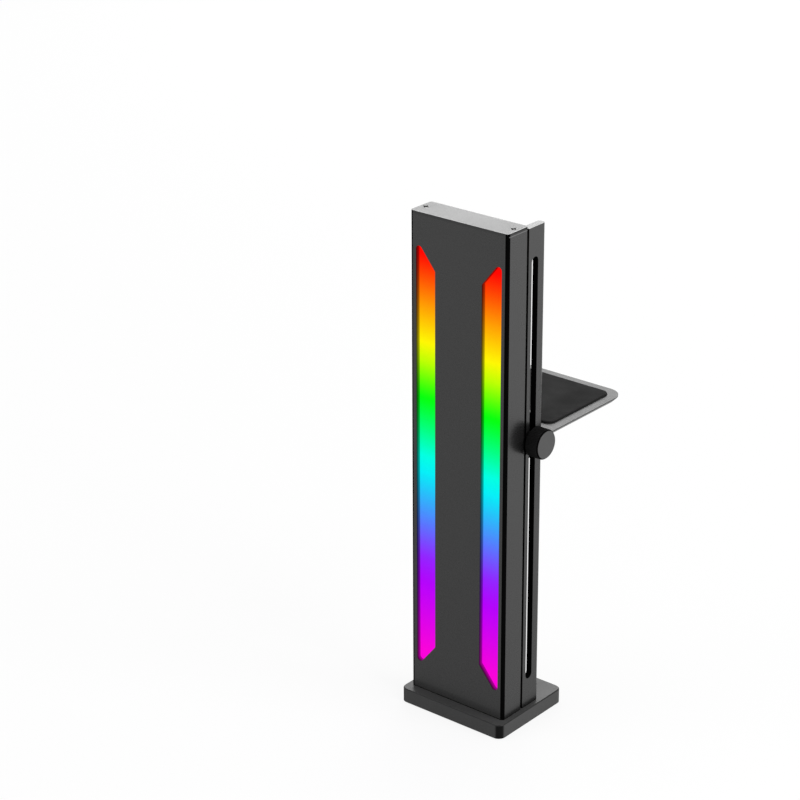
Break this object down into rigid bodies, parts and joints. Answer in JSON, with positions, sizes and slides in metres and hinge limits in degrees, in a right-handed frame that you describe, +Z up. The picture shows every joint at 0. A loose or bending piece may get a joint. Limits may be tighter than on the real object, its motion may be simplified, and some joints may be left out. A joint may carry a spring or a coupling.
{
  "type": "graphics card support bracket",
  "caption": "Free-standing lit support post with a clamped tray that slides up a slotted channel to hold up the sagging end of a graphics card.",
  "frame": {"origin": "middle of the underside of the base, where the bracket stands", "axes": "+Z up the post, light windows facing -Y, thumb screw on the +X side, tray towards +Y"},
  "size_m": [0.0494, 0.0664, 0.1807],
  "materials": {
    "base_finish": "fine-textured dark grey coat on steel plate",
    "magnet": "nickel-plated bar",
    "foot_rubber": "matte black rubber",
    "screw_steel": "machined steel",
    "screw_black": "black oxide steel",
    "housing_black": "blasted and black anodised extrusion",
    "light_bar": "milky light-spreading bar",
    "circuit_board": "white solder mask",
    "light_chip": "moulded chip with clear lens",
    "flat_lead": "thin flexible flat lead",
    "strip_black": "black spacer strip",
    "cap_grey": "fine blasted grey cap plate",
    "channel_black": "blasted and black anodised extrusion, ends and slot cut after",
    "carriage_black": "black die-cast block",
    "tray_black": "blasted and black anodised plate",
    "rest_rubber": "soft matte rubber pad",
    "knob_black": "turned and knurled, black anodised",
    "washer_plastic": "plain black washer"
  },
  "bodies": {
    "frame": {"base_plate": "base_finish", "base_magnets": "magnet", "anti_slip_sheet": "foot_rubber", "base_screws": "screw_steel", "cable_grommet": "foot_rubber", "led_housing": "housing_black", "light_bar_left": "light_bar", "light_bar_right": "light_bar", "light_board_left": "circuit_board", "light_board_right": "circuit_board", "light_chips_left": "light_chip", "light_chips_right": "light_chip", "board_link": "flat_lead", "joint_strip": "strip_black", "top_cap": "cap_grey", "cap_screws": "screw_steel", "rear_channel": "channel_black", "channel_screws": "screw_black"},
    "slider": {"carriage": "carriage_black", "tray_plate": "tray_black", "tray_screws": "screw_black", "card_rest": "rest_rubber"},
    "thumb_screw": {"thumb_screw_head": "knob_black", "thumb_screw_stud": "screw_steel", "clamp_washer": "washer_plastic"}
  },
  "joints": [
    {"name": "tray_slide", "type": "slide", "parent": "frame", "child": "slider", "axis": [0, 0, 1], "range_m": [-0.0875, 0.0625]},
    {"name": "thumb_screw_turn", "type": "hinge", "parent": "slider", "child": "thumb_screw", "pos_m": [0.02, 0.00052, 0.1052], "axis": [1, 0, 0], "range_deg": [0, 360]}
  ]
}
